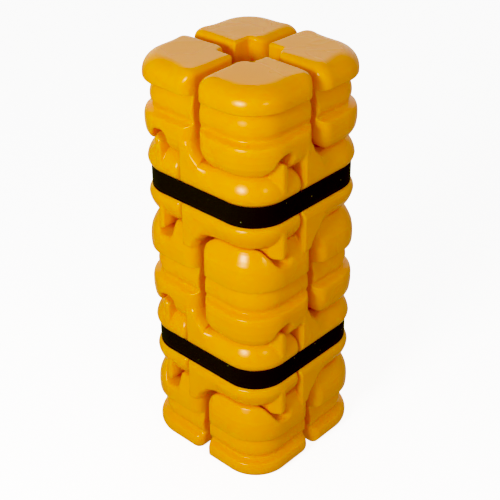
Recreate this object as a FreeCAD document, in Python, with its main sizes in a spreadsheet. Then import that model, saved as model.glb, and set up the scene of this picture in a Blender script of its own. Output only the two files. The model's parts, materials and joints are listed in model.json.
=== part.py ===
import FreeCAD, Part
import Sketcher
import os

# Modular column protector: four corner stacks of three hollow blow-moulded modules each. Every module is
# a block at its own corner with forks that reach along one face and wrap the next corner, above and below
# the neighbour's block, so that the stacks interlock as a pinwheel and slide apart to take a thicker
# column. Two straps lie in the grooves that cover the joints between the tiers.
# Millimetres, +Z up, origin at the centre of the underside. Stack a stands at the corner (-X, -Y); stacks
# b, c and d are the same modules turned by a quarter, a half and three quarters of a turn about Z.

doc = FreeCAD.newDocument("column_protector")
sheet = doc.addObject("Spreadsheet::Sheet", "Sizes")

SIZES = [
    ("face_half", 194.0, "centre to the outer face of a fastened strap"),
    ("corner_radius", 88.0, "plan radius of the strap's outer face at the corners"),
    ("tier_pitch", 453.0, "from the middle of one strap to the middle of the other"),
    ("lower_strap_height", 308.0, "middle of the lower strap above the floor"),
    ("fork_height", 96.0, "tier joint to the seat of the neighbour's block"),
    ("seam_share", 0.617, "height of the mould parting line as a share of a full block"),
    ("cap_height", 49.0, "parting line of a top block to its flat top"),
    ("wall", 4.0, "wall of a hollow module"),
    ("block_bulge", 10.0, "how far a block's bulges stand out past face_half"),
    ("fork_bulge", 7.0, "how far a fork's bulge stands out past face_half"),
    ("edge_inset", 10.0, "how far the seats lie inside face_half"),
    ("groove_inset", 12.0, "depth of a block's groove inside face_half"),
    ("recess_inset", 6.0, "depth of the ribbed recess inside face_half"),
    ("cap_inset", 29.0, "flat top's edge inside face_half"),
    ("block_right_edge", -4.0, "a block's right edge on its own face, from the centre line"),
    ("block_left_edge", 17.0, "the next block's left edge on the same face, from the centre line"),
    ("arm_left_edge", -41.0, "left edge of the arm that joins a block to its forks"),
    ("fork_end", -50.0, "where a fork ends on the second face, from the centre line"),
    ("column_half", 54.0, "half the width of the hole for the column"),
    ("seat_gap", 0.4, "running clearance between a fork and the neighbour's block"),
    ("ridge_centre", 102.0, "guide ridge, from the centre line"),
    ("channel_shift", 14.0, "centre line of a channel, past the ridge's"),
    ("channel_centre", "=ridge_centre + channel_shift", "arched channel that the ridge runs in"),
    ("ridge_width", 20.0, "guide ridge on a fork"),
    ("ridge_height", 36.0, "how far the ridge stands into the neighbour's channel"),
    ("ridge_inner_end", 60.0, "inner end of the ridge, from the centre line"),
    ("channel_width", 54.0, "arched channel in a block"),
    ("crown_clearance", 10.0, "from a ridge's crest to its channel's crown"),
    ("channel_height", "=ridge_height + crown_clearance", "arched channel in a block"),
    ("strap_width", 55.5, "webbing, a little over a nominal two inches"),
    ("strap_thickness", 2.5, "loop-pile webbing"),
    ("strap_gap", 0.3, "between the webbing and the channel floor"),
    ("strap_side_gap", 1.0, "between the webbing's edge and the shoulder of its channel"),
    ("tab_length", 170.0, "hook tab along the strap"),
    ("tab_thickness", 2.0, "hook tab"),
]
for row, (alias, value, note) in enumerate(SIZES, start=1):
    sheet.set("A%d" % row, str(value))
    sheet.setAlias("A%d" % row, alias)
    sheet.set("B%d" % row, note)
doc.recompute()

FACE, ROUND, WALL = "Sizes.face_half", "Sizes.corner_radius", "Sizes.wall"
BULGE, EDGE = "Sizes.block_bulge", "Sizes.edge_inset"
AXIS = "(Sizes.face_half - Sizes.corner_radius)"
FULL_HEIGHT = "(Sizes.tier_pitch - 2 * Sizes.fork_height)"
SEAM_RISE = "(Sizes.seam_share * %s)" % FULL_HEIGHT
SEAM_DROP = "(%s - %s)" % (FULL_HEIGHT, SEAM_RISE)
UPPER_JOINT = "(Sizes.lower_strap_height + Sizes.tier_pitch)"
LOWER_JOINT = "Sizes.lower_strap_height"
CHANNEL_FLOOR = "(0 - Sizes.strap_thickness - Sizes.strap_gap)"
CHANNEL_HALF = "(Sizes.strap_width / 2 + Sizes.strap_side_gap)"
BLOCK_DEPTH = "(%s - Sizes.block_left_edge)" % AXIS
BLOCK_REACH = "(%s + Sizes.block_right_edge)" % AXIS
FORK_REACH = "(%s - Sizes.arm_left_edge)" % AXIS
FORK_DEPTH = "(%s + Sizes.fork_end)" % AXIS


def bind(thing, prop, expression):
    """Tie one property of an object to the sheet."""
    thing.setExpression(prop, expression)


def place(thing, x="0", y="0", z="0"):
    """Tie an object's position to the sheet."""
    for axis, expression in (("x", x), ("y", y), ("z", z)):
        bind(thing, "Placement.Base." + axis, expression)


def value_of(expression):
    """The number that an expression has now, for a sketch's first guess."""
    return float(sheet.evalExpression(expression))


def section(name, points, corner, turn):
    """A closed outline in the upright plane through a corner's axis. Each point is (offset, height):
    the offset is measured outwards from the plan corner radius, and None stands for the axis itself.
    turn is the direction, in degrees about Z, in which the outline looks outwards."""
    sketch = doc.addObject("Sketcher::SketchObject", name)
    spots = [("0" if offset is None else "%s + %s" % (ROUND, offset), height) for offset, height in points]
    corners = [FreeCAD.Vector(value_of(across), value_of(up), 0) for across, up in spots]
    count = len(corners)
    for i in range(count):
        sketch.addGeometry(Part.LineSegment(corners[i], corners[(i + 1) % count]), False)
    for i in range(count):
        sketch.addConstraint(Sketcher.Constraint("Coincident", i, 2, (i + 1) % count, 1))
        for kind, expression, guess in (("DistanceX", spots[i][0], corners[i].x),
                                        ("DistanceY", spots[i][1], corners[i].y)):
            index = sketch.addConstraint(Sketcher.Constraint(kind, i, 1, guess))
            bind(sketch, "Constraints[%d]" % index, expression)
    upright = FreeCAD.Rotation(FreeCAD.Vector(1, 0, 0), 90)
    sketch.Placement = FreeCAD.Placement(
        FreeCAD.Vector(), FreeCAD.Rotation(FreeCAD.Vector(0, 0, 1), turn) * upright)
    place(sketch, corner[0], corner[1])
    return sketch


def extrude(name, sketch, direction, length):
    run = doc.addObject("Part::Extrusion", name)
    run.Base = sketch
    run.DirMode = "Custom"
    run.Dir = direction
    run.Solid = True
    bind(run, "LengthFwd", length)
    return run


def box(name, x, y, z, length, width, height):
    block = doc.addObject("Part::Box", name)
    place(block, x, y, z)
    bind(block, "Length", length)
    bind(block, "Width", width)
    bind(block, "Height", height)
    return block


def fuse(name, shapes):
    joined = doc.addObject("Part::MultiFuse", name)
    joined.Shapes = shapes
    return joined


def cut(name, base, tool):
    rest = doc.addObject("Part::Cut", name)
    rest.Base = base
    rest.Tool = tool
    return rest


def wrap_own_corner(name, points, low, high, inset):
    """A block's mass at the corner (-X, -Y): one section turned about the corner's axis, carried along
    both faces, with the middle filled. inset draws the hollow inside it."""
    corner = ("0 - " + AXIS, "0 - " + AXIS)
    depth, reach = "%s - %s" % (BLOCK_DEPTH, inset), "%s - %s" % (BLOCK_REACH, inset)
    first = section(name + "_section_x", points, corner, 180)
    second = section(name + "_section_y", points, corner, 270)
    turned = doc.addObject("Part::Revolution", name + "_corner")
    turned.Source = first
    turned.Axis = FreeCAD.Vector(0, 0, 1)
    bind(turned, "Base.x", corner[0])
    bind(turned, "Base.y", corner[1])
    turned.Angle = 90
    turned.Solid = True
    side_x = extrude(name + "_side_x", first, FreeCAD.Vector(0, 1, 0), depth)
    side_y = extrude(name + "_side_y", second, FreeCAD.Vector(1, 0, 0), reach)
    core = box(name + "_core", corner[0], corner[1], low, reach, depth, "%s - %s" % (high, low))
    return fuse(name, [turned, side_x, side_y, core])


def wrap_next_corner(name, points, low, high, inset):
    """A fork's mass at the corner (+X, -Y), made the same way as a block's."""
    corner = (AXIS, "0 - " + AXIS)
    reach, depth = "%s - %s" % (FORK_REACH, inset), "%s - %s" % (FORK_DEPTH, inset)
    first = section(name + "_section_y", points, corner, 270)
    second = section(name + "_section_x", points, corner, 0)
    turned = doc.addObject("Part::Revolution", name + "_corner")
    turned.Source = first
    turned.Axis = FreeCAD.Vector(0, 0, 1)
    bind(turned, "Base.x", corner[0])
    bind(turned, "Base.y", corner[1])
    turned.Angle = 90
    turned.Solid = True
    side_y = extrude(name + "_side_y", first, FreeCAD.Vector(-1, 0, 0), reach)
    side_x = extrude(name + "_side_x", second, FreeCAD.Vector(0, 1, 0), depth)
    core = box(name + "_core", "%s - (%s)" % (AXIS, reach), corner[1], low,
               reach, depth, "%s - %s" % (high, low))
    return fuse(name, [turned, side_y, side_x, core])


def inset_profile(points, inset):
    """An outline's points moved inwards by the wall."""
    return [(offset if offset is None else "%s - %s" % (offset, inset), height)
            for offset, height in points]


def block_profile(seat, kind, inset):
    """Outer outline of a block from its seat upwards: lower bulge, shoulder, groove, ribbed recess and
    parting line, then the upper bulge and seat, or the rounded edge of a cap. The stations are shares
    of the height below the parting line and of the height above it."""
    low, high = block_limits(seat, kind, inset)
    seam = "(%s + %s)" % (seat, SEAM_RISE)
    under = seam if kind == "bottom" else SEAM_RISE

    def below(share):
        return "%s - %s * %s" % (seam, share, under)
    if kind == "bottom":
        foot = [("%s * 0.6" % BULGE, low), (BULGE, below(0.8)), (BULGE, below(0.66))]
        groove = (0.53, 0.49, 0.42)
    else:
        foot = [("0 - " + EDGE, low), ("2", below(0.96) + " + " + inset),
                (BULGE, below(0.82) + " + " + inset), (BULGE, below(0.547))]
        groove = (0.416, 0.385, 0.323)
    waist = [("0 - Sizes.groove_inset", below(groove[0])), ("0 - Sizes.groove_inset", below(groove[1])),
             ("0 - Sizes.recess_inset", below(groove[2])), ("0 - Sizes.recess_inset", below(0.05)),
             ("4", seam)]
    if kind == "top":
        head = [(BULGE, seam + " + 0.25 * Sizes.cap_height"),
                ("%s - 4" % BULGE, seam + " + 0.59 * Sizes.cap_height - %s / 2" % inset),
                ("0 - 4", seam + " + 0.81 * Sizes.cap_height - %s * 0.8" % inset),
                ("0 - Sizes.cap_inset / 2", seam + " + 0.95 * Sizes.cap_height - " + inset),
                ("0 - Sizes.cap_inset", high)]
    else:
        head = [(BULGE, "%s + 0.14 * %s" % (seam, SEAM_DROP)),
                ("%s - 1" % BULGE, "%s + 0.44 * %s" % (seam, SEAM_DROP)),
                ("2", "%s + 0.84 * %s - %s" % (seam, SEAM_DROP, inset)), ("0 - " + EDGE, high)]
    return [(None, low)] + inset_profile(foot + waist + head, inset) + [(None, high)]


def block_limits(seat, kind, inset):
    """Lowest and highest level of a block."""
    low = inset if kind == "bottom" else "(%s + Sizes.seat_gap + %s)" % (seat, inset)
    if kind == "top":
        high = "(%s + %s + Sizes.cap_height - %s)" % (seat, SEAM_RISE, inset)
    else:
        high = "(%s + %s - Sizes.seat_gap - %s)" % (seat, FULL_HEIGHT, inset)
    return low, high


def arched_channel(name, floor, side, grow):
    """The arched channel that a guide ridge runs in, through a block along Y; side is +1 for a channel
    that opens downwards at the block's seat, -1 for one that opens upwards. grow thickens it, for the
    wall around it."""
    half = "(Sizes.channel_width / 2 + %s)" % grow
    straight = "(Sizes.channel_height - Sizes.channel_width / 2)"
    length = "%s + %s" % (FACE, "Sizes.column_half")
    slack = "Sizes.channel_width / 2"
    base = "%s - %s" % (floor, slack) if side > 0 else "%s - %s" % (floor, straight)
    flat = box(name + "_flat", "0 - Sizes.channel_centre - " + half, "0 - %s - %s" % (FACE, slack),
               base, "2 * " + half, length, "%s + %s" % (straight, slack))
    arch = doc.addObject("Part::Cylinder", name + "_arch")
    arch.Placement = FreeCAD.Placement(FreeCAD.Vector(), FreeCAD.Rotation(FreeCAD.Vector(1, 0, 0), -90))
    centre = "%s + %d * %s" % (floor, side, straight)
    place(arch, "0 - Sizes.channel_centre", "0 - %s - %s" % (FACE, slack), centre)
    bind(arch, "Radius", half)
    bind(arch, "Height", length)
    return fuse(name, [flat, arch])


def block(name, seat, kind, inset):
    """One block without its forks, or with inset the hollow inside it."""
    low, high = block_limits(seat, kind, inset)
    mass = wrap_own_corner(name + "_mass", block_profile(seat, kind, inset), low, high, inset)
    hole = "Sizes.column_half + " + inset
    reach = FACE
    tools = [box(name + "_column_corner", "0 - (%s)" % hole, "0 - (%s)" % hole, "%s - 1" % low,
                 reach, reach, "%s - %s + 2" % (high, low))]
    if kind != "bottom":
        tools.append(arched_channel(name + "_channel_below", seat, 1, inset))
    if kind != "top":
        tools.append(arched_channel(name + "_channel_above", "%s + %s" % (seat, FULL_HEIGHT), -1, inset))
    return cut(name, mass, fuse(name + "_cuts", tools))


def fork(name, joint, side, inset):
    """One fork: half of the band around a strap, above (side 1) or below (side -1) the tier joint,
    or with inset the hollow inside it."""
    def out(rise):
        return "(%s + %d * (%s))" % (joint, side, rise)
    tip = "Sizes.fork_height - " + inset
    foot = inset

    def station(share):
        return "%s + %s * (Sizes.fork_height - %s)" % (CHANNEL_HALF, share, CHANNEL_HALF)
    outline = [(CHANNEL_FLOOR, out(foot)), (CHANNEL_FLOOR, out(CHANNEL_HALF + " + " + inset)),
               ("0", out(CHANNEL_HALF + " + 0.5 + " + inset)), ("Sizes.fork_bulge", out(station(0.27))),
               ("Sizes.fork_bulge", out(station(0.42))), ("2", out(station(0.77) + " - " + inset)),
               ("0 - " + EDGE, out(tip))]
    points = [(None, out(foot))] + inset_profile(outline, inset) + [(None, out(tip))]
    low, high = (out(foot), out(tip)) if side > 0 else (out(tip), out(foot))
    return wrap_next_corner(name, points, low, high, inset)


def ridge(name, seat, side):
    """The guide ridge on a fork: a bar with a rounded crest that stands into the channel of the
    neighbour's block and runs inwards, square to the second face."""
    crest = "(Sizes.ridge_height - Sizes.ridge_width / 2)"
    overlap = "(Sizes.wall / 2)"
    base = "%s - %s" % (seat, overlap) if side > 0 else "%s - %s" % (seat, crest)
    length = "%s - %s - Sizes.ridge_inner_end" % (FACE, EDGE)
    bar = box(name + "_bar", "Sizes.ridge_inner_end", "0 - Sizes.ridge_centre - Sizes.ridge_width / 2",
              base, length, "Sizes.ridge_width", "%s + %s" % (crest, overlap))
    top = doc.addObject("Part::Cylinder", name + "_crest")
    top.Placement = FreeCAD.Placement(FreeCAD.Vector(), FreeCAD.Rotation(FreeCAD.Vector(0, 1, 0), 90))
    place(top, "Sizes.ridge_inner_end", "0 - Sizes.ridge_centre", "%s + %d * %s" % (seat, side, crest))
    bind(top, "Radius", "Sizes.ridge_width / 2")
    bind(top, "Height", length)
    return fuse(name, [bar, top])


def module_shape(kind, seat, forks):
    """A hollow module of stack a. forks lists (tier joint, side) for each of its forks."""
    outer = [block(kind + "_block", seat, kind, "0")]
    hollow = [block(kind + "_block_hollow", seat, kind, WALL)]
    for count, (joint, side) in enumerate(forks):
        name = "%s_fork_%d" % (kind, count)
        outer.append(fork(name, joint, side, "0"))
        hollow.append(fork(name + "_hollow", joint, side, WALL))
        hollow.append(arm_hollow(name + "_arm_hollow", joint, side))
        outer.append(arm(name + "_arm", joint, side))
        outer.append(ridge(name + "_ridge", "%s + %d * Sizes.fork_height" % (joint, side), side))
    return cut(kind + "_module", fuse(kind + "_outer", outer), fuse(kind + "_inside", hollow))


def arm(name, joint, side):
    """The neck between a block and a fork, across the running clearance."""
    low = "%s + %d * Sizes.fork_height - 2 * Sizes.seat_gap" % (joint, side)
    width = "Sizes.block_right_edge - Sizes.arm_left_edge"
    return box(name, "Sizes.arm_left_edge", "0 - %s + %s" % (FACE, EDGE), low, width,
               "%s - %s + Sizes.fork_end" % (FACE, EDGE), "4 * Sizes.seat_gap")


def arm_hollow(name, joint, side):
    """The passage between the hollow of a block and the hollow of its fork."""
    low = "%s + %d * Sizes.fork_height - 2 * Sizes.wall" % (joint, side)
    width = "Sizes.block_right_edge - Sizes.arm_left_edge - 2 * Sizes.wall"
    return box(name, "Sizes.arm_left_edge + Sizes.wall", "0 - %s + %s + Sizes.wall" % (FACE, EDGE), low,
               width, "%s - %s + Sizes.fork_end - 2 * Sizes.wall" % (FACE, EDGE), "4 * Sizes.wall")


def strap_band(name, joint):
    """A closed band of webbing around all four corners."""
    def ring(part, inset):
        size = "2 * (%s - %s)" % (FACE, inset)
        blank = box("%s_%s_blank" % (name, part), "0 - %s + %s" % (FACE, inset),
                    "0 - %s + %s" % (FACE, inset), "%s - Sizes.strap_width / 2" % joint,
                    size, size, "Sizes.strap_width")
        doc.recompute()
        rounded = doc.addObject("Part::Fillet", "%s_%s" % (name, part))
        rounded.Base = blank
        radius = value_of("%s - %s" % (ROUND, inset))
        upright = [i for i, edge in enumerate(blank.Shape.Edges, start=1)
                   if abs(edge.Vertexes[0].Z - edge.Vertexes[-1].Z) > 1]
        rounded.Edges = [(i, radius, radius) for i in upright]
        return rounded
    return cut(name + "_loop", ring("outside", "0"), ring("inside", "Sizes.strap_thickness"))


def node(label, source, quarter_turns=0):
    """A finished sub-part under its own label, turned about Z into its place."""
    part = doc.addObject("Part::Compound", label)
    part.Label = label
    part.Links = [source]
    part.Placement = FreeCAD.Placement(
        FreeCAD.Vector(), FreeCAD.Rotation(FreeCAD.Vector(0, 0, 1), 90 * quarter_turns))
    return part


UPPER_SEAT = "(%s + Sizes.fork_height)" % UPPER_JOINT
MIDDLE_SEAT = "(%s + Sizes.fork_height)" % LOWER_JOINT
BOTTOM_SEAT = "(%s - Sizes.fork_height - %s)" % (LOWER_JOINT, FULL_HEIGHT)

top = module_shape("top", UPPER_SEAT, [(UPPER_JOINT, 1)])
middle = module_shape("middle", MIDDLE_SEAT, [(UPPER_JOINT, -1), (LOWER_JOINT, 1)])
bottom = module_shape("bottom", BOTTOM_SEAT, [(LOWER_JOINT, -1)])

nodes = []
for tier, source in (("top", top), ("middle", middle), ("bottom", bottom)):
    for turns, stack in enumerate("abcd"):
        nodes.append(node("%s_module_%s" % (tier, stack), source, turns))

for level, joint in (("upper", UPPER_JOINT), ("lower", LOWER_JOINT)):
    nodes.append(node(level + "_strap_band", strap_band(level + "_strap", joint)))
    tab = box(level + "_tab_blank", "0 - Sizes.tab_length / 2", FACE, "%s - Sizes.strap_width / 2" % joint,
              "Sizes.tab_length", "Sizes.tab_thickness", "Sizes.strap_width")
    nodes.append(node(level + "_strap_hook_tab", tab))

doc.recompute()
for thing in doc.Objects:
    if "Invalid" in thing.State or "Error" in thing.State:
        raise RuntimeError("%s did not build: %s" % (thing.Name, thing.State))
for part in nodes:
    if part.Shape.isNull() or not part.Shape.isValid() or not part.Shape.Solids:
        raise RuntimeError("%s has no valid shape" % part.Label)

os.makedirs("parts", exist_ok=True)
for part in nodes:
    part.Shape.exportStep("parts/%s.step" % part.Label)
    print("%-24s %d solid(s) %.0f cm3" % (part.Label, len(part.Shape.Solids), part.Shape.Volume / 1000))
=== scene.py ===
"""Looks of a modular column protector: twelve hollow moulded modules and two hook-and-loop straps.

The file is laid out as an add-on and run as a script. Every size is in metres, in the frame of the
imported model: +Z up, origin at the centre of the underside. A module's skin is the zero level of one
smooth distance function, worked out with numpy on a grid of places as whole arrays.
"""
import json
import math

import bpy
import numpy as np
from mathutils import Matrix
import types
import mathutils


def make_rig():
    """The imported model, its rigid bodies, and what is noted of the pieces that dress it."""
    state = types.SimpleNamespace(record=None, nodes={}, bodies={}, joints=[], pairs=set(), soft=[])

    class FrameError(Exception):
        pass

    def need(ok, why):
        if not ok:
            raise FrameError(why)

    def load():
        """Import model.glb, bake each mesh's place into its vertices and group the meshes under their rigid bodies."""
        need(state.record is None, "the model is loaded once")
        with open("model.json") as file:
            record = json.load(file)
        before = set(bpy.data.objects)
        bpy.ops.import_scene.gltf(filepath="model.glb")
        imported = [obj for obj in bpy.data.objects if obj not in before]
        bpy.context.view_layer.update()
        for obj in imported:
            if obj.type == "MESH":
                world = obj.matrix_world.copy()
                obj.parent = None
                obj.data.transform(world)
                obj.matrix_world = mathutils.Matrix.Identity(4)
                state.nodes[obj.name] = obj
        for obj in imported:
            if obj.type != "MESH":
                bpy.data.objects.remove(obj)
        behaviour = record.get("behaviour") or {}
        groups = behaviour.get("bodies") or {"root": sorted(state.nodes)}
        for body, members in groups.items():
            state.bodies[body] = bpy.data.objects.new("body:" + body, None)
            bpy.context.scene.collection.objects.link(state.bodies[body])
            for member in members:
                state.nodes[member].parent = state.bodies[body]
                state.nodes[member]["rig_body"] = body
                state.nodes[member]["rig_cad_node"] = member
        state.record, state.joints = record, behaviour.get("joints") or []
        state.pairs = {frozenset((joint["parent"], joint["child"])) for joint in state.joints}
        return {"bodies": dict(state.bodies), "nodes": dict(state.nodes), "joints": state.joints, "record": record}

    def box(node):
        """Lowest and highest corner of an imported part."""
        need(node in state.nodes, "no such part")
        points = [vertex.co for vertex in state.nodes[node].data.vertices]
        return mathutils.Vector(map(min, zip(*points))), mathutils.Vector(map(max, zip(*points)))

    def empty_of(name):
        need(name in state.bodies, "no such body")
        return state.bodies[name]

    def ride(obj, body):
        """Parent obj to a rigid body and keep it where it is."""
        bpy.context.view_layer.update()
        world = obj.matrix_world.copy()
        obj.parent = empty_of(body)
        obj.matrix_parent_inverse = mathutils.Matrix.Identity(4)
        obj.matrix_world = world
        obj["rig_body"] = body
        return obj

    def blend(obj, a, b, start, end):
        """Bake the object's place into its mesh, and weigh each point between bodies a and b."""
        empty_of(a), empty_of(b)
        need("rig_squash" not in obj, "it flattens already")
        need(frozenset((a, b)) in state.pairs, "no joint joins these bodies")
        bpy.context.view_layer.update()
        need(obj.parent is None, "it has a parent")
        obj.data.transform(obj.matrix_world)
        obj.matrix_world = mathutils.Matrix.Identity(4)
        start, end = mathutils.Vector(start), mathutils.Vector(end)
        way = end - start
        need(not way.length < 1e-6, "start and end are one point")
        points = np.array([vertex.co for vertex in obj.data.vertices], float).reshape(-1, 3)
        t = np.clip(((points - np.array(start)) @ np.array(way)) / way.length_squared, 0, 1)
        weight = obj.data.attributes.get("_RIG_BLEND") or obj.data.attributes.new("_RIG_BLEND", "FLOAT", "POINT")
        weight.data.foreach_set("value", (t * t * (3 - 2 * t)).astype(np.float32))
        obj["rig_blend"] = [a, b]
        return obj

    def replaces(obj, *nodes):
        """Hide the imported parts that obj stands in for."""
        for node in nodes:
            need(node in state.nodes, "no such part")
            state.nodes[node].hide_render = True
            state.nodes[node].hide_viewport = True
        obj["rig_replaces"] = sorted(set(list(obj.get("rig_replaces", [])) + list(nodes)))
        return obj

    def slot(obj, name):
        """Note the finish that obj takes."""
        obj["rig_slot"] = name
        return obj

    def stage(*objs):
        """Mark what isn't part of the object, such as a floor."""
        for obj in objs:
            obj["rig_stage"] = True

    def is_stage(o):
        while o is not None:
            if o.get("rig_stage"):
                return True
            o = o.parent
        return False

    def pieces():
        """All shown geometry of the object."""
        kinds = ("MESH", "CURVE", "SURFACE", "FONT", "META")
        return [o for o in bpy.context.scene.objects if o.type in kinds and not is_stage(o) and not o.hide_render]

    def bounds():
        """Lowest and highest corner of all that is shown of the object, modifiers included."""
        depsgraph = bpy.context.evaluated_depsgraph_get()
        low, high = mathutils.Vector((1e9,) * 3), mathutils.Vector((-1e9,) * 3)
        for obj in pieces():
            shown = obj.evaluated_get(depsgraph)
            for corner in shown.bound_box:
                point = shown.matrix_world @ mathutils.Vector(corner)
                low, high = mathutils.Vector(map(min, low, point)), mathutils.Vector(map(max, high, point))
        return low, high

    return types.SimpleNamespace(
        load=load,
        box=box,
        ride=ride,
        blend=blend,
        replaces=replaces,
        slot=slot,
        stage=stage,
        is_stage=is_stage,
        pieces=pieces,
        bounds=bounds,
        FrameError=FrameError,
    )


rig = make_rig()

bl_info = {
    "name": "Column protector",
    "version": (1, 0, 0),
    "blender": (4, 5, 0),
    "location": "View3D > Sidebar > Protector",
    "description": "Moulded modules, straps and stage of a modular column protector",
    "category": "Object",
}

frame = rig.load()
CAD_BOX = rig.bounds()

STACKS = "abcd"
BAND_LOW, BAND_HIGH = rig.box("lower_strap_band"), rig.box("upper_strap_band")
FACE_HALF = BAND_HIGH[1][0]
STRAP_WIDTH = BAND_HIGH[1][2] - BAND_HIGH[0][2]
JOINTS = {"lower": (BAND_LOW[0][2] + BAND_LOW[1][2]) / 2,
          "upper": (BAND_HIGH[0][2] + BAND_HIGH[1][2]) / 2}
TIER_PITCH = JOINTS["upper"] - JOINTS["lower"]
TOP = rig.box("top_module_a")[1][2]
MM = 0.001
SEAT_GAP = 0.4 * MM

# The straps. The hook tab is centred on the +Y face. The strap's right run ends and its left run starts
# under it, past the middle, and SEWN is where the left run is stitched to it. A run stretches over
# STRETCH_HALF each side of the gap that a slide opens.
STRAP_THICKNESS = 2.5 * MM
TAB_THICKNESS = 2 * MM
TAB_HALF = 0.085
RIGHT_END = 0.048
LEFT_START = 0.05
SEWN = (0.05, 0.08)
STRETCH_HALF = 0.09


def length(name, description, default):
    """A size that a user may change, in metres."""
    return bpy.props.FloatProperty(name=name, description=description, default=default,
                                   unit="LENGTH", precision=4, min=0.0)


def colour(name, description, default):
    """A colour that a user may change, kept linear."""
    return bpy.props.FloatVectorProperty(name=name, description=description, subtype="COLOR",
                                         size=3, min=0.0, max=1.0, default=linear(default))


def linear(code):
    """An sRGB hex code as linear red, green and blue."""
    shares = [int(code[i:i + 2], 16) / 255 for i in (1, 3, 5)]
    return tuple(s / 12.92 if s <= 0.04045 else ((s + 0.055) / 1.055) ** 2.4 for s in shares)


class ModuleSizes(bpy.types.PropertyGroup):
    """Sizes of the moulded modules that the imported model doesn't state."""
    corner_radius: length("Corner radius", "Plan radius of the strap's outer face", 0.088)
    fork_height: length("Fork height", "Tier joint to the seat of the next block", 0.096)
    top_seam: length("Top seam", "Height of the parting line of a top block", 1.0114)
    middle_seam: length("Middle seam", "Height of the parting line of a middle block", 0.5658)
    bottom_seam: length("Bottom seam", "Height of the parting line of a bottom block", 0.1222)
    right_edge: length("Right edge", "A block's right edge short of the centre line", 0.004)
    left_edge: length("Left edge", "The next block's left edge past the centre line", 0.017)
    arm_left: length("Arm left edge", "Arm's left edge short of the centre line", 0.041)
    fork_end: length("Fork end", "A fork's end short of the centre line of its second face", 0.045)
    column_half: length("Column hole", "Half the width of the hole for the column", 0.054)
    cap_rounding: length("Cap rounding", "Rounding of a cap's outer edge", 0.046)
    side_rounding: length("Side rounding", "Rounding of a bulge's upright edges", 0.032)
    corner_rounding: length("Corner rounding", "Rounding of a block's left corners, seen face on", 0.046)
    grid_step: length("Grid step", "Spacing of the grid that the skins are worked out on", 0.0036)


class Finishes(bpy.types.PropertyGroup):
    """Colours of the finishes."""
    polyethylene: colour("Polyethylene", "Yellow of the moulded modules", "#F79700")
    webbing: colour("Webbing", "Black of the straps", "#08090F")
    hook_tape: colour("Hook tape", "Black of the hook tabs", "#090A10")
    floor: colour("Floor", "Pale studio floor", "#F4F4F2")


# Distance functions. Each gives, for whole arrays of places, how far outside a region a place lies:
# negative inside, zero on its surface.

def rounded_and(a, b, radius):
    """Where two regions meet, with the outer edge between them led round a circle: far from the edge
    the larger distance, near it the distance from the circle's centre less the radius."""
    return (np.minimum(np.maximum(a, b), -radius)
            + np.hypot(np.maximum(a + radius, 0), np.maximum(b + radius, 0)))


def rounded_or(a, b, radius):
    """Both regions joined, with the inner corner between them filled to a circle: the outside of
    where both outsides meet."""
    return -rounded_and(-a, -b, radius)


def nearest_radius(walls, radii):
    """The rounding radius that goes with the nearest of some walls, each radius given in millimetres,
    blended smoothly between walls that are about equally near."""
    weights = [np.exp(np.clip(wall / (12 * MM), -20, 4)) for wall in np.broadcast_arrays(*walls)]
    return sum(w * r * MM for w, r in zip(weights, radii)) / sum(weights)


def smooth_step(value, low, high):
    """0 at low, 1 at high and a smooth S between them."""
    share = np.clip((value - low) / (high - low), 0, 1)
    return share * share * (3 - 2 * share)


def outline_curve(stations, blur):
    """A smooth curve through (height, offset) stations in millimetres: straight runs, averaged over a
    raised-cosine window blur wide. Gives a function of height in metres."""
    heights, offsets = np.array(stations, dtype=float).T
    step = 0.25
    fine = np.arange(heights[0], heights[-1] + step, step)
    window = np.hanning(int(blur / step) | 1)
    half = len(window) // 2
    padded = np.pad(np.interp(fine, heights, offsets), half, mode="edge")
    smooth = np.convolve(padded, window / window.sum(), "valid")
    return lambda height: np.interp(height, fine * MM, smooth * MM)


def square_distance(x, y, corner_radius):
    """How far outside the strap's outer face a place lies in plan. The face is a square with rounded
    corners: the distance from a smaller square, less the corner radius."""
    across = np.abs(x) - (FACE_HALF - corner_radius)
    along = np.abs(y) - (FACE_HALF - corner_radius)
    return (np.hypot(np.maximum(across, 0), np.maximum(along, 0))
            + np.minimum(np.maximum(across, along), 0) - corner_radius)


# A block's outer face, as (height above the parting line, offset outside the strap's face), in
# millimetres. RIB_BAND is how far the ribs reach below the parting line.
RIBS = [(-77.5, 3.5), (-75.5, -1), (-73.5, -6), (-71, -9.8), (-68, -11), (-64, -10.4), (-60, -8.8),
        (-56, -7), (-52, -5.8), (-48, -5.2), (-44, -5), (-39, -5.3), (-33, -6.3), (-27, -8),
        (-21, -10), (-15, -11.5), (-7, -12.3), (-1.5, -12.6), (-0.8, 8)]
UPPER_HALF = [(3, 9), (12, 9.8), (24, 10), (38, 9.2), (52, 6.6), (64, 2), (76, -4), (88, -11), (98, -18)]
UNDER_RIBS = [(-86, 8.6), (-80, 6.5)]
RIB_BAND = 75 * MM
FOOT = {"top": [(-160, -13), (-153, -5), (-143, 2), (-130, 7.5), (-112, 10), (-94, 10)],
        "middle": [(-168, -13), (-160, -5), (-150, 2), (-136, 7.5), (-116, 10), (-94, 10)],
        "bottom": [(-128, 8.5), (-118, 10), (-104, 10), (-92, 10)]}


def block_curve(kind):
    """The offset of a block's outer face as a function of the height above its parting line."""
    head = [(3, 10), (60, 10)] if kind == "top" else UPPER_HALF
    return outline_curve(FOOT[kind] + UNDER_RIBS + RIBS + head, 3)


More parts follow.
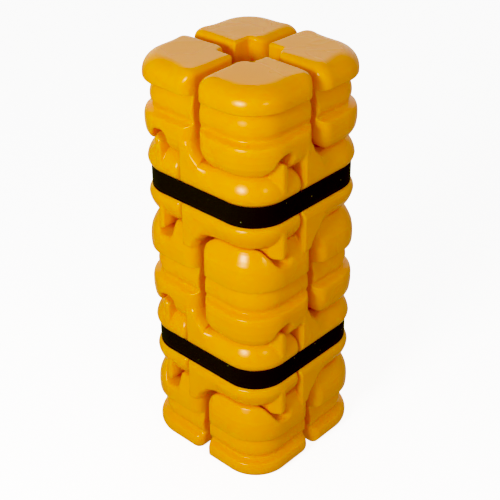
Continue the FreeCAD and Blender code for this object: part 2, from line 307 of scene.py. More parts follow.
# The guides: a fork's ridge and the arched channel in the next block that it runs in. Left and right are
# distances from the centre line, and past GUIDE_DEPTH inside the faces both run straight in.
CHANNEL_LEFT, CHANNEL_RIGHT, CHANNEL_CROWN = 123 * MM, 85 * MM, 46 * MM
RIDGE_LEFT, RIDGE_RIGHT, RIDGE_MIDDLE, RIDGE_RADIUS = 114 * MM, 98 * MM, 118 * MM, 25 * MM
RIDGE_INNER_END = 60 * MM
FORK_BULGE = 8 * MM
GUIDE_DEPTH = 14 * MM


def block_region(kind, seat, sizes, x, y, z, out):
    """Stack a's block of a tier: the band between its outer face and the column hole, cut by its
    seats and its two upright side walls, with the arched channels of the guide ridges. An upright
    edge is rounded more where the face bulges, by 6 mm and 1.65 times the bulge's rise over -6 mm, and
    by 24 mm at the foot of a bottom block."""
    full = TIER_PITCH - 2 * sizes.fork_height
    rise = z - getattr(sizes, kind + "_seam")
    offset = block_curve(kind)(rise)
    face = out - offset
    low = -z if kind == "bottom" else seat + SEAT_GAP - z
    high = z - TOP if kind == "top" else z - (seat + full - SEAT_GAP)
    right = x + sizes.right_edge
    left = y + sizes.left_edge
    column = rounded_or(x + sizes.column_half, y + sizes.column_half, 6 * MM)
    edge = np.clip(6 * MM + 1.65 * (offset + 6 * MM), 4 * MM, sizes.side_rounding)
    edge = edge + (24 * MM - edge) * smooth_step(-low, 70 * MM, 30 * MM) * (kind == "bottom")
    side = rounded_and(rounded_and(face, right, edge), column, 6 * MM)
    wall = rounded_and(left, low, 14 * MM if kind == "bottom" else sizes.corner_rounding)
    if kind == "top":
        body = rounded_and(side, wall, edge)
        head_round = nearest_radius((face, left, right, column), (sizes.cap_rounding / MM, 26, 13, 5))
        body = rounded_and(body, high, head_round)
    else:
        body = rounded_and(side, rounded_and(wall, high, sizes.corner_rounding), edge)
    if kind != "bottom":
        body = cut_channel(body, x, z - seat, out)
    if kind != "top":
        body = cut_channel(body, x, seat + full - z, out)
    return body


def cut_channel(body, x, rise, out):
    """A block less its arched guide channel, open at the seat: rise is the height above it. The left
    wall flares out by 0.56 a unit of rise, the crown is arched, and the right wall leans by 0.2 near
    the outer face. The channel's outer edge is rounded by 8 mm on the left and 11 mm on the right."""
    flare = 0.56
    lean = 0.2
    left = -(x + CHANNEL_LEFT + flare * (42 * MM - rise)) / math.hypot(1, flare)
    leaning = np.maximum(out, -GUIDE_DEPTH) + 12 * MM
    right = (x + CHANNEL_RIGHT - lean * leaning) / math.hypot(1, lean)
    crown = rise - CHANNEL_CROWN
    channel = np.maximum(rounded_and(left, crown, 10 * MM), rounded_and(right, crown, 16 * MM))
    edge = 8 * MM + 3 * MM * smooth_step(x, -112 * MM, -94 * MM)
    return rounded_and(body, -channel, edge)


# A fork's outer face by the strap, as (height from the tier joint, offset outside the strap's face).
STRAP_CHANNEL = outline_curve([(-20, -3.1), (28, -3.1), (29, -1), (33, 3.5), (40, 6.5), (48, 8), (54, 14),
                               (220, 60)], 4)


def fork_region(joint, side, sizes, x, y, z, out):
    """One fork of stack a's module with the arm that joins it to the block and its guide ridge.
    rise is the height from the tier joint towards the block. The outer face is the lowest of three:
    the strap's channel, a left flank that falls 1.05 mm a millimetre, and a pillow. The pillow stands
    8 mm out and falls by drop times the square of how far a place is into the roll by the elbow, where
    the fork turns up into the arm. The roll widens from 13 mm on the arm to 56 mm along the fork."""
    tip = sizes.fork_height
    rise = side * (z - joint)
    right = x + sizes.right_edge
    elbow = rounded_or(right, rise - tip, 50 * MM)
    widening = smooth_step(x - 0.8 * (rise - tip), 0, 100 * MM)
    roll = 13 * MM + 43 * MM * widening
    drop = 20 * MM + 8 * MM * widening
    pillow = FORK_BULGE - drop * np.maximum(0, 1 + elbow / roll) ** 2
    left_flank = FORK_BULGE - 1.05 * np.maximum(0, -34 * MM - x)
    offset = np.minimum(np.minimum(pillow, left_flank), STRAP_CHANNEL(rise))
    face = out - offset
    body = rounded_and(face, elbow, 3 * MM)
    body = rounded_and(body, -x - sizes.arm_left, 3 * MM)
    end_round = 4 * MM + 34 * MM * smooth_step(x, 60 * MM, 120 * MM)
    over = rise - (tip + CHANNEL_CROWN)
    top = np.where(x > 20 * MM, rise - tip, over)
    body = rounded_and(body, rounded_and(y + sizes.fork_end, top, end_round), 14 * MM)
    body = rounded_and(body, over, 10 * MM)
    body = rounded_and(body, -rise, 0.5 * MM)
    return rounded_or(body, ridge_region(rise, tip, x, y, out), 2.5 * MM)


def ridge_region(rise, tip, x, y, out):
    """The guide ridge on a fork: a flat outer face between two flanks that slope 1.25 and 3 to 1 near
    the face and then run straight in, clear of the channel, with a rounded tip."""
    face = out - FORK_BULGE
    sloping = np.maximum(face, -FORK_BULGE - GUIDE_DEPTH)
    left = (sloping - 1.25 * (y + RIDGE_LEFT)) / math.hypot(1, 1.25)
    right = (sloping + 3 * (y + RIDGE_RIGHT)) / math.hypot(1, 3)
    body = rounded_and(rounded_and(face, left, 3 * MM), right, 4 * MM)
    outline = np.hypot(y + RIDGE_MIDDLE, np.maximum(rise - tip - 3 * MM, 0)) - RIDGE_RADIUS
    body = rounded_and(body, outline, 8 * MM)
    return np.maximum(np.maximum(body, 50 * MM - rise), RIDGE_INNER_END - x)


FORKS = {"top": [("upper", 1)], "middle": [("upper", -1), ("lower", 1)], "bottom": [("lower", -1)]}


def module_region(kind, sizes, x, y, z):
    """Stack a's module of one tier: its block joined to its forks."""
    out = square_distance(x, y, sizes.corner_radius)
    seats = {"top": JOINTS["upper"] + sizes.fork_height, "middle": JOINTS["lower"] + sizes.fork_height}
    seats["bottom"] = seats["middle"] - TIER_PITCH
    body = block_region(kind, seats[kind], sizes, x, y, z, out)
    for level, side in FORKS[kind]:
        fork = fork_region(JOINTS[level], side, sizes, x, y, z, out)
        body = rounded_or(body, fork, 5 * MM)
    return body


def skin(region, box_low, box_high, step, fine_heights=()):
    """The closed surface where region is zero. The grid cells that it passes through get one vertex
    each, at the mean of the crossings on the cell's edges; every grid edge that it crosses gets one
    quad between its four cells. The vertices are then led onto the surface down the slope. The grid
    is finer, a quarter of a step, for a step and a half each side of the fine_heights."""
    axes = [np.arange(low - 1.6 * step, high + 2.6 * step, step) for low, high in zip(box_low, box_high)]
    extra = [np.linspace(height - 1.5 * step, height + 1.5 * step, 13) for height in fine_heights]
    heights = np.sort(np.concatenate([axes[2], *extra]))
    axes[2] = heights[np.concatenate([[True], np.diff(heights) > 0.15 * step])]
    places = np.meshgrid(*axes, indexing="ij")
    value = region(*places)
    counts = np.zeros([n - 1 for n in value.shape])
    sums = [np.zeros_like(counts) for _ in range(3)]
    crossings = []
    for axis in range(3):
        near = np.take(value, range(0, value.shape[axis] - 1), axis)
        far = np.take(value, range(1, value.shape[axis]), axis)
        crossed = (near < 0) != (far < 0)
        share = np.where(crossed, near / np.where(near == far, 1, near - far), 0)
        crossings.append((crossed, near < 0))
        others = [a for a in range(3) if a != axis]
        spots = []
        for a in range(3):
            start = np.take(places[a], range(0, value.shape[axis] - 1), axis)
            ahead = np.take(places[a], range(1, value.shape[axis]), axis)
            spots.append(start + (share * (ahead - start) if a == axis else 0))
        for first in (0, 1):
            for second in (0, 1):
                src = [slice(None)] * 3
                src[others[0]] = slice(first, value.shape[others[0]] - 1 + first)
                src[others[1]] = slice(second, value.shape[others[1]] - 1 + second)
                hit = crossed[tuple(src)]
                counts += hit
                for a in range(3):
                    sums[a] += np.where(hit, spots[a][tuple(src)], 0)
    active = counts > 0
    index = np.full(active.shape, -1)
    index[active] = np.arange(active.sum())
    points = np.stack([s[active] / counts[active] for s in sums], 1)
    quads = []
    for axis, (crossed, inside_first) in enumerate(crossings):
        b, c = (axis + 1) % 3, (axis + 2) % 3
        core = [slice(None)] * 3
        core[b], core[c] = slice(1, -1), slice(1, -1)
        spots = np.argwhere(crossed[tuple(core)])
        spots[:, b] += 1
        spots[:, c] += 1
        corners = []
        for db, dc in ((-1, -1), (0, -1), (0, 0), (-1, 0)):
            cell = spots.copy()
            cell[:, b] += db
            cell[:, c] += dc
            corners.append(index[tuple(cell.T)])
        faces = np.stack(corners, 1)
        flip = ~inside_first[tuple(spots.T)]
        faces[flip] = faces[flip][:, ::-1]
        quads.append(faces)
    points, normals = settle(region, points, 0.5 * step)
    return points, np.concatenate(quads), normals


def settle(region, points, reach):
    """Points led onto the surface in three steps of value over slope, none longer than reach, and the
    outward unit slope there, which is the surface's normal."""
    probe = 0.3 * MM
    for _ in range(3):
        value = region(*points.T)
        slope = gradient(region, points, probe)
        size = np.maximum((slope ** 2).sum(1), 0.05)
        move = -(value / size)[:, None] * slope
        far = np.linalg.norm(move, axis=1, keepdims=True)
        points = points + move * np.minimum(1, reach / np.maximum(far, 1e-9))
    slope = gradient(region, points, 0.8 * MM)
    return points, slope / np.maximum(np.linalg.norm(slope, axis=1, keepdims=True), 1e-9)


def gradient(region, points, probe):
    """Slope of the region's distance: its change from probe behind to probe ahead, over twice probe,
    along each axis."""
    parts = []
    for axis in range(3):
        shift = np.zeros(3)
        shift[axis] = probe
        parts.append((region(*(points + shift).T) - region(*(points - shift).T)) / (2 * probe))
    return np.stack(parts, 1)


def turned(vectors, quarter_turns):
    """Places or directions turned about Z by quarter turns: x cos - y sin, x sin + y cos."""
    angle = quarter_turns * math.pi / 2
    cos, sin = round(math.cos(angle)), round(math.sin(angle))
    return vectors @ np.array([[cos, sin, 0], [-sin, cos, 0], [0, 0, 1]], dtype=float)


def add_mesh(name, points, faces, material, normals=None):
    """A smooth mesh object at the origin, with its place in its vertices."""
    mesh = bpy.data.meshes.new(name)
    mesh.from_pydata(points.tolist(), [], faces.tolist())
    mesh.polygons.foreach_set("use_smooth", [True] * len(mesh.polygons))
    if normals is not None:
        mesh.normals_split_custom_set_from_vertices(normals.tolist())
    mesh.validate()
    return add_object(name, mesh, material)


def add_object(name, mesh, material):
    """An object at the origin that shows a mesh in one material."""
    mesh.update()
    piece = bpy.data.objects.new(name, mesh)
    bpy.context.scene.collection.objects.link(piece)
    piece.data.materials.append(material)
    return piece


# Materials. Patterns lie on Object coordinates, which are metres, so a noise or cell texture's Scale is
# one over the size of its spots.

def node(tree, kind, settings=(), links=()):
    """One shader node with its settings, and links given as (input, from_node, output)."""
    made = tree.nodes.new(kind)
    for key, value in dict(settings).items():
        if isinstance(key, int) or key in made.inputs:
            made.inputs[key].default_value = value
        else:
            setattr(made, key, value)
    for entry, source, output in links:
        tree.links.new(source.outputs[output], made.inputs[entry])
    return made


def new_material(name):
    """An empty material, and its node tree."""
    made = bpy.data.materials.new(name)
    made.use_nodes = True
    made.node_tree.nodes.clear()
    return made, made.node_tree


def moulded_polyethylene(base):
    """Blow-moulded high-density polyethylene, satin gloss: light goes a little way in, so shaded gaps
    glow orange. The skin has a slight orange peel of about 4 mm, slow waves of about 90 mm from uneven
    cooling, which also dull it in patches, and fine flow lines some 200 mm apart on the flat tops. A
    flow line runs where its noise passes through a half."""
    made, tree = new_material("yellow_polyethylene")
    place = node(tree, "ShaderNodeTexCoord")
    peel = node(tree, "ShaderNodeTexNoise", {"Scale": 1 / (4.167 * MM), "Detail": 2.0},
                [("Vector", place, "Object")])
    wave = node(tree, "ShaderNodeTexNoise", {"Scale": 1 / (90.909 * MM), "Detail": 1.0},
                [("Vector", place, "Object")])
    flow = node(tree, "ShaderNodeTexNoise", {"Scale": 1 / (200 * MM), "Detail": 1.0, "Distortion": 0.6},
                [("Vector", place, "Object")])
    off_line = node(tree, "ShaderNodeMath", {"operation": "SUBTRACT", 1: 0.5}, [(0, flow, "Fac")])
    distance = node(tree, "ShaderNodeMath", {"operation": "ABSOLUTE"}, [(0, off_line, "Value")])
    line = node(tree, "ShaderNodeMapRange",
                {"From Min": 0.0, "From Max": 0.012, "To Min": 1.0, "To Max": 0.0,
                 "interpolation_type": "SMOOTHSTEP"},
                [("Value", distance, "Value")])
    waves = node(tree, "ShaderNodeBump", {"Strength": 0.14, "Distance": 0.004}, [("Height", wave, "Fac")])
    facing = node(tree, "ShaderNodeNewGeometry")
    upward = node(tree, "ShaderNodeSeparateXYZ", (), [("Vector", facing, "Normal")])
    flat_top = node(tree, "ShaderNodeMapRange",
                    {"From Min": 0.9, "From Max": 0.99, "To Min": 0.02, "To Max": 0.3},
                    [("Value", upward, "Z")])
    lines = node(tree, "ShaderNodeBump", {"Distance": 0.001},
                 [("Height", line, "Result"), ("Strength", flat_top, "Result"),
                  ("Normal", waves, "Normal")])
    bump = node(tree, "ShaderNodeBump", {"Strength": 0.05, "Distance": 0.0008},
                [("Height", peel, "Fac"), ("Normal", lines, "Normal")])
    dull = node(tree, "ShaderNodeMapRange",
                {"From Min": 0.3, "From Max": 0.7, "To Min": 0.24, "To Max": 0.3},
                [("Value", wave, "Fac")])
    shade = node(tree, "ShaderNodeMapRange",
                 {"From Min": 0.3, "From Max": 0.7, "To Min": 0.0, "To Max": 1.0},
                 [("Value", flow, "Fac")])
    deep = (base[0], base[1] * 0.94, base[2])
    tone = node(tree, "ShaderNodeMix", {"data_type": "RGBA", 6: (*base, 1), 7: (*deep, 1)},
                [("Factor", shade, "Result")])
    shader = node(tree, "ShaderNodeBsdfPrincipled",
                  {"IOR": 1.5, "Specular IOR Level": 0.32, "Subsurface Weight": 0.5,
                   "Subsurface Radius": (1.0, 0.3, 0.05), "Subsurface Scale": 0.045},
                  [("Base Color", tone, 2), ("Roughness", dull, "Result"), ("Normal", bump, "Normal")])
    node(tree, "ShaderNodeOutputMaterial", (), [("Surface", shader, "BSDF")])
    return made


def loop_webbing(base):
    """Polyester loop tape: a matte black pile about 1 mm deep, bunched in tufts 2.4 mm wide, with pale
    lint caught in it every 26 mm or so. Real loops are far finer, and are drawn coarse to show. The black
    has painted shade where the pile sits low and a painted sheen where it stands high."""
    made, tree = new_material("black_webbing")
    place = node(tree, "ShaderNodeTexCoord")
    pile = node(tree, "ShaderNodeTexNoise", {"Scale": 1 / (1.1111 * MM), "Detail": 3.0},
                [("Vector", place, "Object")])
    tuft = node(tree, "ShaderNodeTexVoronoi", {"Scale": 1 / (2.381 * MM)}, [("Vector", place, "Object")])
    mixed = node(tree, "ShaderNodeMath", {"operation": "ADD"}, [(0, pile, "Fac"), (1, tuft, "Distance")])
    bump = node(tree, "ShaderNodeBump", {"Strength": 0.7, "Distance": 0.0008},
                [("Height", mixed, "Value")])
    lint = node(tree, "ShaderNodeTexVoronoi", {"Scale": 1 / (26.316 * MM)}, [("Vector", place, "Object")])
    speck = node(tree, "ShaderNodeMapRange",
                 {"From Min": 0.045, "From Max": 0.06, "To Min": 0.35, "To Max": 0.0},
                 [("Value", lint, "Distance")])
    # Painted shade and sheen: the black is darkened to half where the pile noise sits low and brightened to 1.6 times
    # where it stands high, following the pile's bump.
    shade = node(tree, "ShaderNodeMapRange",
                 {"From Min": 0.3, "From Max": 0.7, "To Min": 0.5, "To Max": 1.6},
                 [("Value", pile, "Fac")])
    cloth_with_painted_pile_shade = node(tree, "ShaderNodeVectorMath", {"operation": "SCALE", 0: tuple(base)},
                 [("Scale", shade, "Result")])
    tone = node(tree, "ShaderNodeMix", {"data_type": "RGBA", 7: (*linear("#BCB8B3"), 1)},
                [("Factor", speck, "Result"), (6, cloth_with_painted_pile_shade, "Vector")])
    shader = node(tree, "ShaderNodeBsdfPrincipled", {"Roughness": 0.95, "Specular IOR Level": 0.15},
                  [("Base Color", tone, 2), ("Normal", bump, "Normal")])
    node(tree, "ShaderNodeOutputMaterial", (), [("Surface", shader, "BSDF")])
    return made


def hook_tape(base):
    """Moulded nylon hook tape: hooks 1.5 mm apart on a smooth black ground, with a dull sheen that
    varies over 17 mm."""
    made, tree = new_material("hook_tape")
    place = node(tree, "ShaderNodeTexCoord")
    hooks = node(tree, "ShaderNodeTexVoronoi", {"Scale": 1 / (1.5385 * MM)}, [("Vector", place, "Object")])
    wear = node(tree, "ShaderNodeTexNoise", {"Scale": 1 / (16.667 * MM), "Detail": 3.0},
                [("Vector", place, "Object")])
    bump = node(tree, "ShaderNodeBump", {"Strength": 0.5, "Distance": 0.0006},
                [("Height", hooks, "Distance")])
    dull = node(tree, "ShaderNodeMapRange",
                {"From Min": 0.3, "From Max": 0.7, "To Min": 0.4, "To Max": 0.65},
                [("Value", wear, "Fac")])
    shader = node(tree, "ShaderNodeBsdfPrincipled",
                  {"Base Color": (*base, 1), "IOR": 1.53, "Specular IOR Level": 0.18},
                  [("Roughness", dull, "Result"), ("Normal", bump, "Normal")])
    node(tree, "ShaderNodeOutputMaterial", (), [("Surface", shader, "BSDF")])
    return made


def polyester_thread(base):
    """Bonded polyester sewing thread, black with a faint sheen, its plies 0.45 mm apart. A diagonal wave
    repeats every 2 pi / (10 sqrt 3 Scale)."""
    made, tree = new_material("black_thread")
    place = node(tree, "ShaderNodeTexCoord")
    ply = node(tree, "ShaderNodeTexWave", {"Scale": 2 * math.pi / (10 * math.sqrt(3) * 0.45345 * MM),
                                           "bands_direction": "DIAGONAL"},
               [("Vector", place, "Object")])
    bump = node(tree, "ShaderNodeBump", {"Strength": 0.5, "Distance": 0.0002}, [("Height", ply, "Fac")])
    shader = node(tree, "ShaderNodeBsdfPrincipled", {"Base Color": (*base, 1), "Roughness": 0.5},
                  [("Normal", bump, "Normal")])
    node(tree, "ShaderNodeOutputMaterial", (), [("Surface", shader, "BSDF")])
    return made


# The stage. The film's levels are linear light, powers are watts, bearings are degrees (azimuth,
# elevation), and the camera's distance and aim follow the size of the object.
WHITE_LEVEL = 3.0
BLACK_LEVELS = (0.006, 0.0085, 0.045)
FILM_SPEED = 1.36
KEY_POWER = 92
SECOND_POWER = 20
WORLD_TOP, WORLD_FRONT, WORLD_BACK = 0.12, 0.4, 1.2
FLOOR_GLOW = 1.6
FLOOR_HALF = 30
CAMERA_BEARING = (42.97, 30.11)
CAMERA_ROLL = math.radians(-0.468)
CAMERA_DISTANCE = 14.24 * FACE_HALF
CAMERA_AIM = 3.22 * FACE_HALF


def studio_world():
    """A studio with a white backdrop behind the object, and dark above and in front of it."""
    world = bpy.data.worlds.new("studio")
    world.use_nodes = True
    tree = world.node_tree
    tree.nodes.clear()
    place = node(tree, "ShaderNodeTexCoord")
    parts = node(tree, "ShaderNodeSeparateXYZ", (), [("Vector", place, "Generated")])
    away = direction(CAMERA_BEARING[0] + 180, 25)
    behind = node(tree, "ShaderNodeVectorMath", {"operation": "DOT_PRODUCT", 1: tuple(away)},
                  [(0, place, "Generated")])
    spread = node(tree, "ShaderNodeMapRange",
                  {"From Min": 0.6, "From Max": 0.95, "To Min": WORLD_FRONT, "To Max": WORLD_BACK,
                   "interpolation_type": "SMOOTHSTEP"},
                  [("Value", behind, "Value")])
    climb = node(tree, "ShaderNodeMapRange",
                 {"From Min": 0.4, "From Max": 0.95, "To Min": 1.0, "To Max": 0.0,
                  "interpolation_type": "SMOOTHSTEP"},
                 [("Value", parts, "Z")])
    ground = node(tree, "ShaderNodeMapRange",
                  {"From Min": -0.15, "From Max": 0.0, "To Min": 0.5, "To Max": 1.0},
                  [("Value", parts, "Z")])
    shaped = node(tree, "ShaderNodeMath", {"operation": "MULTIPLY"},
                  [(0, ground, "Result"), (1, climb, "Result")])
    level = node(tree, "ShaderNodeMath", {"operation": "MULTIPLY"},
                 [(0, spread, "Result"), (1, shaped, "Value")])
    total = node(tree, "ShaderNodeMath", {"operation": "ADD", 1: WORLD_TOP}, [(0, level, "Value")])
    light = node(tree, "ShaderNodeBackground", {"Color": (1, 1, 1, 1)}, [("Strength", total, "Value")])
    node(tree, "ShaderNodeOutputWorld", (), [("Surface", light, "Background")])
    return world


def studio_floor(base):
    """A matte pale floor that glows a little, so it fades into the backdrop."""
    made, tree = new_material("studio_floor")
    shader = node(tree, "ShaderNodeBsdfPrincipled",
                  {"Base Color": (*base, 1), "Roughness": 0.9,
                   "Emission Color": (1, 1, 1, 1), "Emission Strength": FLOOR_GLOW})
    node(tree, "ShaderNodeOutputMaterial", (), [("Surface", shader, "BSDF")])
    return made


class PROTECTOR_OT_modules(bpy.types.Operator):
    """Make the twelve moulded modules: three skins, each turned to its four corners"""
    bl_idname = "protector.modules"
    bl_label = "Moulded modules"

    def execute(self, context):
        sizes = context.scene.protector_sizes
        material = moulded_polyethylene(context.scene.protector_finishes.polyethylene)
        for kind in FORKS:
            low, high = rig.box("%s_module_a" % kind)
            seam = getattr(sizes, kind + "_seam")
            points, faces, normals = skin(lambda *at: module_region(kind, sizes, *at), low, high,
                                          sizes.grid_step, (seam, seam - RIB_BAND))
            for turns, stack in enumerate(STACKS):
                piece = add_mesh("%s_skin_%s" % (kind, stack), turned(points, turns), faces, material,
                                 turned(normals, turns))
                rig.ride(piece, "stack_" + stack)
                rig.replaces(piece, "%s_module_%s" % (kind, stack))
                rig.slot(piece, "yellow_polyethylene")
        return {"FINISHED"}


def side_length(corner_radius):
    """Length of a quarter of the strap's outer face: a straight run and a quarter circle."""
    return 2 * (FACE_HALF - corner_radius) + corner_radius * math.pi / 2


def band_path(corner_radius, start, end, step):
    """Places and outward directions in plan along the strap's outer face, from one distance along it
    to another; distance 0 is at the middle of the -Y face and grows towards +X. Each side is a
    straight run and then a quarter circle, and each next side is turned by 90 degrees."""
    straight = 2 * (FACE_HALF - corner_radius)
    side = side_length(corner_radius)
    shifted = np.linspace(start, end, max(2, int((end - start) / step))) + straight / 2
    face = np.floor(shifted / side)
    rest = shifted - face * side
    run = np.minimum(rest, straight)
    bend = np.maximum(rest - straight, 0) / corner_radius
    half = FACE_HALF - corner_radius
    x = run - half + corner_radius * np.sin(bend)
    y = -half - corner_radius * np.cos(bend)
    angle = face * math.pi / 2
    cos, sin = np.cos(angle), np.sin(angle)
    places = np.stack([x * cos - y * sin, x * sin + y * cos], 1)
    nx, ny = np.sin(bend), -np.cos(bend)
    outward = np.stack([nx * cos - ny * sin, nx * sin + ny * cos], 1)
    return places, outward


def band_mesh(name, joint, start, end, corner_radius, inner, outer, material):
    """A strip of webbing: a flat section with half-round edges carried along the strap's path. The
    section goes once round, up the outer side and down the inner one: depth is how far outside the
    strap's face a point lies, height how far above the joint, and facing is the section's normal.
    An edge's points lie at rim * (sin turn, cos turn) from its centre, for turn from -90 to 90 degrees."""
    places, outward = band_path(corner_radius, start, end, 4 * MM)
    half = STRAP_WIDTH / 2
    rim = (outer - inner) / 2
    turn = np.linspace(-math.pi / 2, math.pi / 2, 7)
    climb = np.linspace(-1, 1, 13)[1:-1] * (half - rim)
    level = np.ones(len(climb))
    centre = (inner + outer) / 2
    depth = np.concatenate([outer * level, centre - rim * np.sin(turn),
                            inner * level, centre + rim * np.sin(turn)])
    height = np.concatenate([climb, half - rim + rim * np.cos(turn),
                             -climb, -(half - rim) - rim * np.cos(turn)])
    depth_facing = np.concatenate([level, -np.sin(turn), -level, np.sin(turn)])
    height_facing = np.concatenate([0 * level, np.cos(turn), 0 * level, -np.cos(turn)])
    rows, columns = len(places), len(depth)
    plan = places[:, None, :] + outward[:, None, :] * depth[None, :, None]
    upright = np.broadcast_to(joint + height[None, :, None], (rows, columns, 1))
    points = np.concatenate([plan, upright], 2)
    grid = np.arange(rows * columns).reshape(rows, columns)
    wrap = np.roll(grid, -1, 1)
    faces = np.stack([grid[:-1], grid[1:], wrap[1:], wrap[:-1]], 2).reshape(-1, 4).tolist()
    faces += [grid[0].tolist(), grid[-1][::-1].tolist()]
    mesh = bpy.data.meshes.new(name)
    mesh.from_pydata(points.reshape(-1, 3).tolist(), [], faces)
    mesh.polygons.foreach_set("use_smooth", [True] * (len(faces) - 2) + [False, False])
    sideways = outward[:, None, :] * depth_facing[None, :, None]
    upwards = np.broadcast_to(height_facing[None, :, None], (rows, columns, 1))
    normals = np.concatenate([sideways, upwards], 2)
    mesh.normals_split_custom_set_from_vertices(normals.reshape(-1, 3).tolist())
    return add_object(name, mesh, material)


def stitch_rows(start, end, inset):
    """Centres and headings, as (along, up, heading along, heading up), of the stitches of a sewn
    rectangle with its diagonal: 3 mm apart, between two distances along the strap."""
    half = STRAP_WIDTH / 2 - inset
    corners = np.array([[start, -half], [end, -half], [end, half], [start, half], [start, -half],
                        [end, half]])
    runs = []
    for a, b in zip(corners[:-1], corners[1:]):
        size = np.linalg.norm(b - a)
        count = int(size / (3 * MM))
        share = (np.arange(count) + 0.5)[:, None] / count
        headings = np.broadcast_to((b - a) / size, (count, 2))
        runs.append(np.concatenate([a + (b - a) * share, headings], 1))
    return np.concatenate(runs)


def stitch_mesh(name, joint, corner_radius, start, end, lift, material):
    """Sewn stitches on the +Y face, lift outside it. Each is a slender grain with six corners and
    eight sides: 2.6 mm long, 0.8 mm wide and 0.7 mm thick, along its heading."""
    rows = stitch_rows(start, end, 4 * MM)
    ring = np.array([[-1, 0, 0], [1, 0, 0], [0, 1, 0], [0, -1, 0], [0, 0, 1], [0, 0, -1]])
    ring = ring * [1.3 * MM, 0.4 * MM, 0.35 * MM]
    ahead, across = rows[:, 2:], np.stack([-rows[:, 3], rows[:, 2]], 1)
    plane = (rows[:, None, :2] + ring[None, :, :1] * ahead[:, None]
             + ring[None, :, 1:2] * across[:, None])
    middle = 2 * side_length(corner_radius)
    depth = np.broadcast_to(FACE_HALF + lift + ring[None, :, 2], plane.shape[:2])
    points = np.stack([middle - plane[..., 0], depth, joint + plane[..., 1]], 2)
    sides = np.array([[0, 2, 4], [2, 1, 4], [1, 3, 4], [3, 0, 4],
                      [2, 0, 5], [1, 2, 5], [3, 1, 5], [0, 3, 5]])
    faces = (np.arange(len(rows))[:, None, None] * 6 + sides[None]).reshape(-1, 3)
    return add_mesh(name, points.reshape(-1, 3), faces, material)


class PROTECTOR_OT_straps(bpy.types.Operator):
    """Make the two straps, each of three runs parted at corners a and b"""
    bl_idname = "protector.straps"
    bl_label = "Straps"

    def execute(self, context):
        material = loop_webbing(context.scene.protector_finishes.webbing)
        radius = context.scene.protector_sizes.corner_radius
        side = side_length(radius)
        closure = 2 * side
        for level, joint in JOINTS.items():
            front = band_mesh(level + "_strap_front", joint, -side / 2, side / 2, radius,
                              -STRAP_THICKNESS, 0, material)
            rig.blend(front, "stack_a", "stack_b", (-STRETCH_HALF, 0, joint), (STRETCH_HALF, 0, joint))
            right = band_mesh(level + "_strap_right", joint, side / 2, closure + RIGHT_END, radius,
                              -STRAP_THICKNESS, 0, material)
            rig.blend(right, "stack_b", "stack_c", (0, -STRETCH_HALF, joint), (0, STRETCH_HALF, joint))
            left = band_mesh(level + "_strap_left", joint, -closure + LEFT_START, -side / 2, radius,
                             -STRAP_THICKNESS, 0, material)
            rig.blend(left, "stack_a", "stack_d", (0, -STRETCH_HALF, joint), (0, STRETCH_HALF, joint))
            for piece in (front, right, left):
                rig.replaces(piece, level + "_strap_band")
                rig.slot(piece, "black_webbing")
        return {"FINISHED"}


class PROTECTOR_OT_hook_tabs(bpy.types.Operator):
    """Make the two hook tabs that close the straps, and the stitches that hold them"""
    bl_idname = "protector.hook_tabs"
    bl_label = "Hook tabs"

    def execute(self, context):
        finishes = context.scene.protector_finishes
        hooks, thread = hook_tape(finishes.hook_tape), polyester_thread(finishes.webbing)
        radius = context.scene.protector_sizes.corner_radius
        closure = 2 * side_length(radius)
        for level, joint in JOINTS.items():
            tab = band_mesh(level + "_strap_tab", joint, closure - TAB_HALF, closure + TAB_HALF, radius,
                            0, TAB_THICKNESS, hooks)
            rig.ride(tab, "stack_d")
            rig.replaces(tab, level + "_strap_hook_tab")
            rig.slot(tab, "black_hook_tape")
            sewing = stitch_mesh(level + "_strap_stitches", joint, radius, closure + SEWN[0],
                                 closure + SEWN[1], TAB_THICKNESS + 0.1 * MM, thread)
            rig.ride(sewing, "stack_d")
            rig.slot(sewing, "black_webbing")
        return {"FINISHED"}


class PROTECTOR_OT_stage(bpy.types.Operator):
    """Make the pale floor, the soft studio lights and the camera"""
    bl_idname = "protector.stage"
    bl_label = "Stage"

    def execute(self, context):
        scene = context.scene
        soften_highlights(scene.view_settings)
        corners = FLOOR_HALF * np.array([[-1, -1, 0], [1, -1, 0], [1, 1, 0], [-1, 1, 0]], dtype=float)
        floor = add_mesh("floor", corners, np.array([[0, 1, 2, 3]]),
                         studio_floor(scene.protector_finishes.floor))
        floor.visible_glossy = False
        floor.visible_diffuse = False
        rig.stage(floor)
        scene.world = studio_world()
        add_light("key_softbox", azimuth=9, elevation=26, distance=3.4, width=1.0, height=0.7,
                  power=KEY_POWER, tint=(1, 1, 1))
        add_light("second_softbox", azimuth=73, elevation=26, distance=3.4, width=0.28, height=0.24,
                  power=SECOND_POWER, tint=(1, 0.75, 0.5))
        add_camera(scene)
        return {"FINISHED"}


def soften_highlights(view):
    """A film-like response: light of strength x shows as 1 - exp(-x * FILM_SPEED), so bright yellow
    rolls off gently instead of clipping."""
    view.view_transform = "Standard"
    view.use_curve_mapping = True
    mapping = view.curve_mapping
    mapping.white_level = (WHITE_LEVEL,) * 3
    mapping.black_level = BLACK_LEVELS
    curve = mapping.curves[3]
    shares = np.array([0, 0.04, 0.1, 0.2, 0.35, 0.55, 0.75, 1])
    shown = (1 - np.exp(-shares * WHITE_LEVEL * FILM_SPEED)) / (1 - math.exp(-WHITE_LEVEL * FILM_SPEED))
    curve.points[0].location, curve.points[1].location = (0, 0), (1, 1)
    for share, level in zip(shares[1:-1], shown[1:-1]):
        curve.points.new(share, level)
    mapping.update()


def direction(azimuth, elevation):
    """Unit vector from the object towards a place at that bearing: azimuth 0 is along -Y."""
    a, e = math.radians(azimuth), math.radians(elevation)
    return np.array([math.sin(a) * math.cos(e), -math.cos(a) * math.cos(e), math.sin(e)])


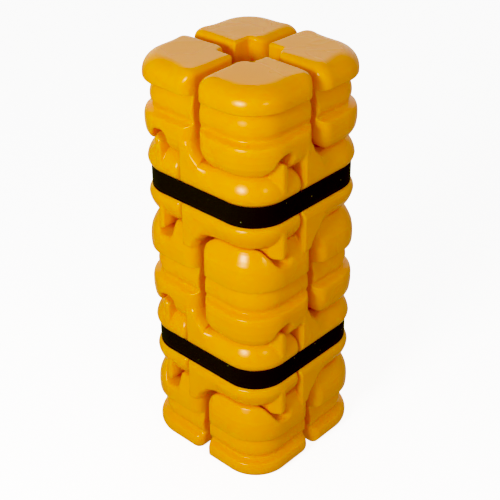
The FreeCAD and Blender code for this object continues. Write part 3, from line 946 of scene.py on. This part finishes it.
def add_light(name, azimuth, elevation, distance, width, height, power, tint):
    """A rectangular softbox that faces the middle of the object."""
    lamp = bpy.data.lights.new(name, "AREA")
    lamp.shape = "RECTANGLE"
    lamp.size, lamp.size_y = width, height
    lamp.energy = power
    lamp.color = tint
    holder = bpy.data.objects.new(name, lamp)
    bpy.context.scene.collection.objects.link(holder)
    back = direction(azimuth, elevation)
    middle = np.array([0, 0, TOP / 2])
    place_facing(holder, middle + back * distance, back, 0)


def place_facing(holder, place, back, roll):
    """Put an object at a place with its -Z axis against back, rolled about that axis."""
    right = np.cross([0, 0, 1], back)
    right /= np.linalg.norm(right)
    up = np.cross(back, right)
    cos, sin = math.cos(roll), math.sin(roll)
    rolled_right, rolled_up = cos * right + sin * up, cos * up - sin * right
    matrix = np.eye(4)
    matrix[:3, 0], matrix[:3, 1], matrix[:3, 2], matrix[:3, 3] = rolled_right, rolled_up, back, place
    holder.matrix_world = Matrix(matrix.tolist())


def add_camera(scene):
    """The camera: a short telephoto, a little shifted, as the object is framed."""
    lens = bpy.data.cameras.new("camera")
    lens.sensor_width = 36.0
    lens.lens = 81.0
    lens.shift_x, lens.shift_y = -0.004, -0.0642
    holder = bpy.data.objects.new("camera", lens)
    scene.collection.objects.link(holder)
    back = direction(*CAMERA_BEARING)
    place_facing(holder, np.array([0, 0, CAMERA_AIM]) + back * CAMERA_DISTANCE, back, CAMERA_ROLL)
    scene.camera = holder


class PROTECTOR_PT_panel(bpy.types.Panel):
    """Sizes, colours and the operators that make the pieces"""
    bl_idname = "PROTECTOR_PT_panel"
    bl_label = "Column protector"
    bl_space_type = "VIEW_3D"
    bl_region_type = "UI"
    bl_category = "Protector"

    def draw(self, context):
        for group in (context.scene.protector_sizes, context.scene.protector_finishes):
            for name in group.__annotations__:
                self.layout.prop(group, name)
        for operator in OPERATORS:
            self.layout.operator(operator.bl_idname)


OPERATORS = (PROTECTOR_OT_modules, PROTECTOR_OT_straps, PROTECTOR_OT_hook_tabs, PROTECTOR_OT_stage)
CLASSES = (ModuleSizes, Finishes, *OPERATORS, PROTECTOR_PT_panel)


def register():
    """Add the classes, and the scene's sizes and finishes."""
    for entry in CLASSES:
        bpy.utils.register_class(entry)
    bpy.types.Scene.protector_sizes = bpy.props.PointerProperty(type=ModuleSizes)
    bpy.types.Scene.protector_finishes = bpy.props.PointerProperty(type=Finishes)


def unregister():
    """Take them away again, in the reverse order."""
    del bpy.types.Scene.protector_finishes
    del bpy.types.Scene.protector_sizes
    for entry in reversed(CLASSES):
        bpy.utils.unregister_class(entry)


def main():
    """Register the classes, make every piece and write the boxes of both models."""
    register()
    bpy.ops.protector.modules()
    bpy.ops.protector.straps()
    bpy.ops.protector.hook_tabs()
    bpy.ops.protector.stage()
    boxes = {"cad": CAD_BOX, "visual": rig.bounds()}
    with open("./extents.json", "w") as file:
        json.dump({name: [[float(v) for v in corner] for corner in box]
                   for name, box in boxes.items()}, file)


if __name__ == "__main__":
    main()
